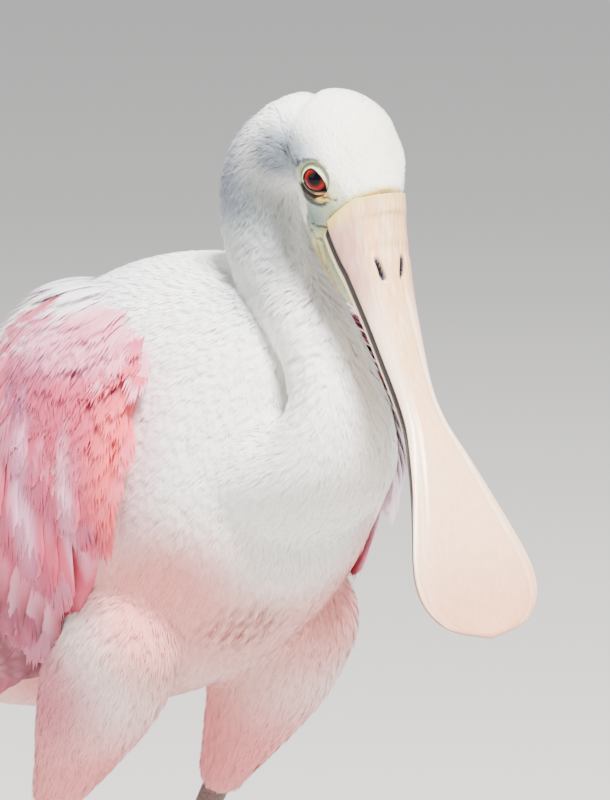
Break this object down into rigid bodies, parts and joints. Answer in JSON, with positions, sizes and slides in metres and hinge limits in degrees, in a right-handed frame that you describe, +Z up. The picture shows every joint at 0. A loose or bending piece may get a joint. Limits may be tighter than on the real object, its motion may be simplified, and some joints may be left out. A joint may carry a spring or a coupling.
{
  "type": "roseate spoonbill",
  "caption": "Young roseate spoonbill with a white feathered head, standing at rest: neck drawn in, long spatulate bill pointed steeply down, pink wings folded, slim legs on flat toes.",
  "frame": {"origin": "on the floor, under the middle of the whole bird's bounding box", "axes": "+Z up, the bird faces -Y, +X is the bird's left side"},
  "size_m": [0.1544, 0.4176, 0.4167],
  "materials": {
    "white_plumage": "soft matt cream-white body plumage",
    "pink_plumage": "soft matt rose-pink wing plumage",
    "tail_plumage": "soft matt pale blush tail feathers",
    "bill_horn": "smooth satin pinkish horn",
    "eye": "wet glossy dark red iris with a black pupil",
    "leg_skin": "dull scaled grey-brown leg skin"
  },
  "bodies": {
    "root": {"torso": "white_plumage", "neck": "white_plumage", "head": "white_plumage", "bill_upper": "bill_horn", "bill_lower": "bill_horn", "tail": "tail_plumage", "eye_left": "eye", "eye_right": "eye", "wing_left": "pink_plumage", "wing_right": "pink_plumage", "thigh_left": "white_plumage", "thigh_right": "white_plumage", "shank_left": "leg_skin", "shank_right": "leg_skin", "foot_left": "leg_skin", "foot_right": "leg_skin"}
  },
  "joints": []
}
